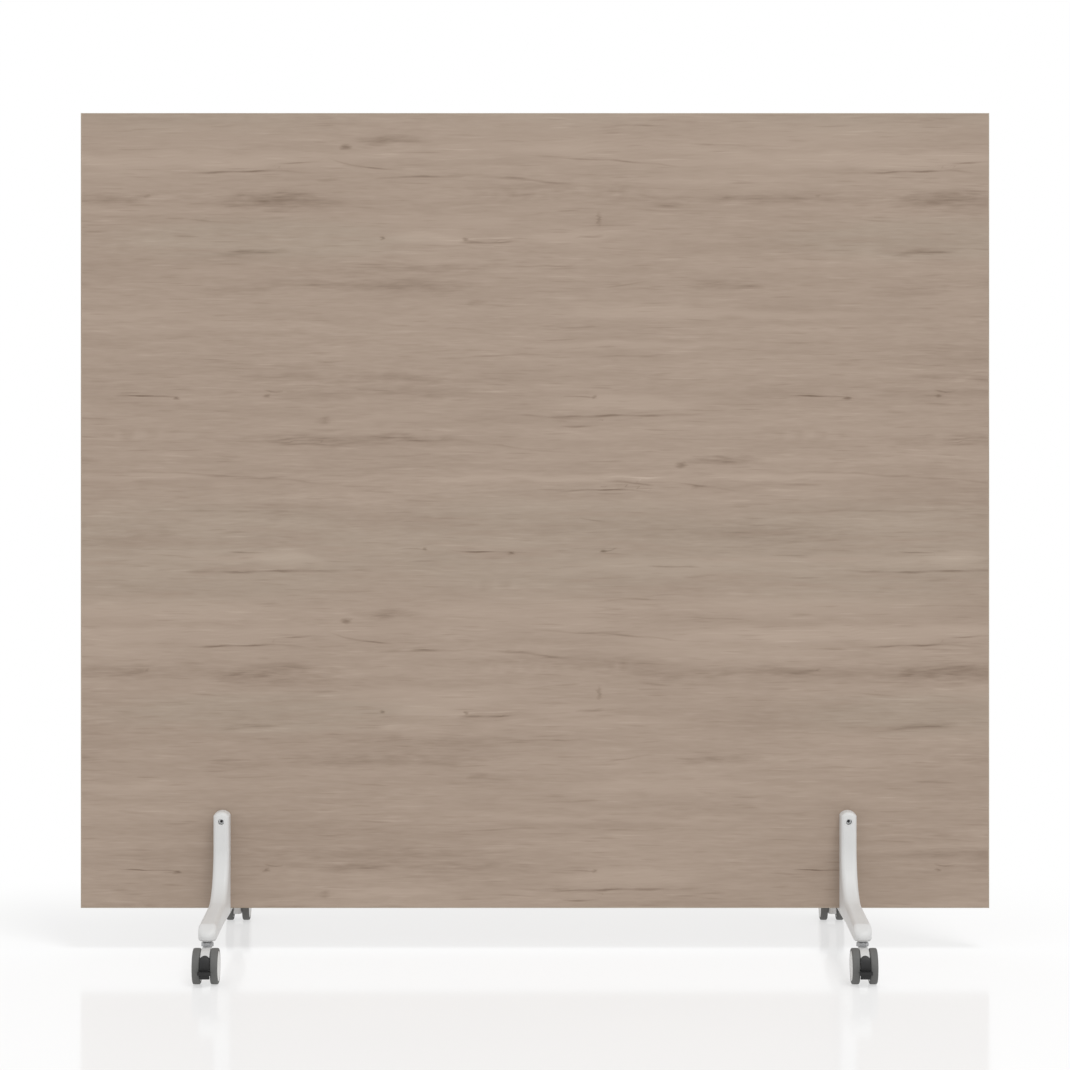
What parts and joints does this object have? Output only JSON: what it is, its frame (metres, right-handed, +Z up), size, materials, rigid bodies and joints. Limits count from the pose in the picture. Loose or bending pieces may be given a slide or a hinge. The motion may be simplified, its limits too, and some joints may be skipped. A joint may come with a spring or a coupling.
{
  "type": "room divider",
  "caption": "Mobile room divider: an upright wood-decor board clamped between white cast feet on braked twin-wheel swivel casters.",
  "frame": {"origin": "on the floor under the middle of the board", "axes": "+X along the board to the right, +Y from front to rear through the board, +Z up"},
  "size_m": [1.6, 0.676, 1.476],
  "materials": {
    "chipboard": "matte",
    "oak_decor": "matte",
    "edge_band": "matte",
    "white_coat": "satin",
    "zinc_steel": "satin",
    "dark_steel": "satin",
    "grey_plastic": "satin",
    "hub_plastic": "satin",
    "grey_tyre": "matte",
    "pedal_plastic": "satin"
  },
  "bodies": {
    "divider": {"board_core": "chipboard", "front_laminate": "oak_decor", "rear_laminate": "oak_decor", "top_band": "edge_band", "bottom_band": "edge_band", "left_band": "edge_band", "right_band": "edge_band", "left_tie_plate": "zinc_steel", "right_tie_plate": "zinc_steel", "tie_plate_screws": "zinc_steel", "clamp_screws": "dark_steel", "sleeve_nuts": "dark_steel", "front_left_arm": "white_coat", "front_left_stem": "zinc_steel", "front_left_stem_clip": "dark_steel", "front_right_arm": "white_coat", "front_right_stem": "zinc_steel", "front_right_stem_clip": "dark_steel", "rear_left_arm": "white_coat", "rear_left_stem": "zinc_steel", "rear_left_stem_clip": "dark_steel", "rear_right_arm": "white_coat", "rear_right_stem": "zinc_steel", "rear_right_stem_clip": "dark_steel"},
    "front_left_swivel": {"front_left_hood": "grey_plastic", "front_left_axle": "zinc_steel", "front_left_pedal_pin": "zinc_steel"},
    "front_left_outer_wheel": {"front_left_outer_tyre": "grey_tyre", "front_left_outer_hub": "hub_plastic"},
    "front_left_inner_wheel": {"front_left_inner_tyre": "grey_tyre", "front_left_inner_hub": "hub_plastic"},
    "front_left_brake": {"front_left_pedal": "pedal_plastic"},
    "front_right_swivel": {"front_right_hood": "grey_plastic", "front_right_axle": "zinc_steel", "front_right_pedal_pin": "zinc_steel"},
    "front_right_outer_wheel": {"front_right_outer_tyre": "grey_tyre", "front_right_outer_hub": "hub_plastic"},
    "front_right_inner_wheel": {"front_right_inner_tyre": "grey_tyre", "front_right_inner_hub": "hub_plastic"},
    "front_right_brake": {"front_right_pedal": "pedal_plastic"},
    "rear_left_swivel": {"rear_left_hood": "grey_plastic", "rear_left_axle": "zinc_steel", "rear_left_pedal_pin": "zinc_steel"},
    "rear_left_outer_wheel": {"rear_left_outer_tyre": "grey_tyre", "rear_left_outer_hub": "hub_plastic"},
    "rear_left_inner_wheel": {"rear_left_inner_tyre": "grey_tyre", "rear_left_inner_hub": "hub_plastic"},
    "rear_left_brake": {"rear_left_pedal": "pedal_plastic"},
    "rear_right_swivel": {"rear_right_hood": "grey_plastic", "rear_right_axle": "zinc_steel", "rear_right_pedal_pin": "zinc_steel"},
    "rear_right_outer_wheel": {"rear_right_outer_tyre": "grey_tyre", "rear_right_outer_hub": "hub_plastic"},
    "rear_right_inner_wheel": {"rear_right_inner_tyre": "grey_tyre", "rear_right_inner_hub": "hub_plastic"},
    "rear_right_brake": {"rear_right_pedal": "pedal_plastic"}
  },
  "joints": [
    {"name": "front_left_swivel_turn", "type": "hinge", "parent": "divider", "child": "front_left_swivel", "pos_m": [-0.55, -0.272, 0.0585], "axis": [0, 0, 1], "continuous": true},
    {"name": "front_left_outer_wheel_roll", "type": "hinge", "parent": "front_left_swivel", "child": "front_left_outer_wheel", "pos_m": [-0.565, -0.296, 0.03], "axis": [1, 0, 0], "continuous": true},
    {"name": "front_left_inner_wheel_roll", "type": "hinge", "parent": "front_left_swivel", "child": "front_left_inner_wheel", "pos_m": [-0.535, -0.296, 0.03], "axis": [1, 0, 0], "continuous": true},
    {"name": "front_left_brake_press", "type": "hinge", "parent": "front_left_swivel", "child": "front_left_brake", "pos_m": [-0.55, -0.304, 0.0468], "axis": [1, 0, 0], "range_deg": [0, 10]},
    {"name": "front_right_swivel_turn", "type": "hinge", "parent": "divider", "child": "front_right_swivel", "pos_m": [0.55, -0.272, 0.0585], "axis": [0, 0, 1], "continuous": true},
    {"name": "front_right_outer_wheel_roll", "type": "hinge", "parent": "front_right_swivel", "child": "front_right_outer_wheel", "pos_m": [0.565, -0.296, 0.03], "axis": [1, 0, 0], "continuous": true},
    {"name": "front_right_inner_wheel_roll", "type": "hinge", "parent": "front_right_swivel", "child": "front_right_inner_wheel", "pos_m": [0.535, -0.296, 0.03], "axis": [1, 0, 0], "continuous": true},
    {"name": "front_right_brake_press", "type": "hinge", "parent": "front_right_swivel", "child": "front_right_brake", "pos_m": [0.55, -0.304, 0.0468], "axis": [1, 0, 0], "range_deg": [0, 10]},
    {"name": "rear_left_swivel_turn", "type": "hinge", "parent": "divider", "child": "rear_left_swivel", "pos_m": [-0.55, 0.272, 0.0585], "axis": [0, 0, 1], "continuous": true},
    {"name": "rear_left_outer_wheel_roll", "type": "hinge", "parent": "rear_left_swivel", "child": "rear_left_outer_wheel", "pos_m": [-0.565, 0.296, 0.03], "axis": [1, 0, 0], "continuous": true},
    {"name": "rear_left_inner_wheel_roll", "type": "hinge", "parent": "rear_left_swivel", "child": "rear_left_inner_wheel", "pos_m": [-0.535, 0.296, 0.03], "axis": [1, 0, 0], "continuous": true},
    {"name": "rear_left_brake_press", "type": "hinge", "parent": "rear_left_swivel", "child": "rear_left_brake", "pos_m": [-0.55, 0.304, 0.0468], "axis": [-1, 0, 0], "range_deg": [0, 10]},
    {"name": "rear_right_swivel_turn", "type": "hinge", "parent": "divider", "child": "rear_right_swivel", "pos_m": [0.55, 0.272, 0.0585], "axis": [0, 0, 1], "continuous": true},
    {"name": "rear_right_outer_wheel_roll", "type": "hinge", "parent": "rear_right_swivel", "child": "rear_right_outer_wheel", "pos_m": [0.565, 0.296, 0.03], "axis": [1, 0, 0], "continuous": true},
    {"name": "rear_right_inner_wheel_roll", "type": "hinge", "parent": "rear_right_swivel", "child": "rear_right_inner_wheel", "pos_m": [0.535, 0.296, 0.03], "axis": [1, 0, 0], "continuous": true},
    {"name": "rear_right_brake_press", "type": "hinge", "parent": "rear_right_swivel", "child": "rear_right_brake", "pos_m": [0.55, 0.304, 0.0468], "axis": [-1, 0, 0], "range_deg": [0, 10]}
  ]
}
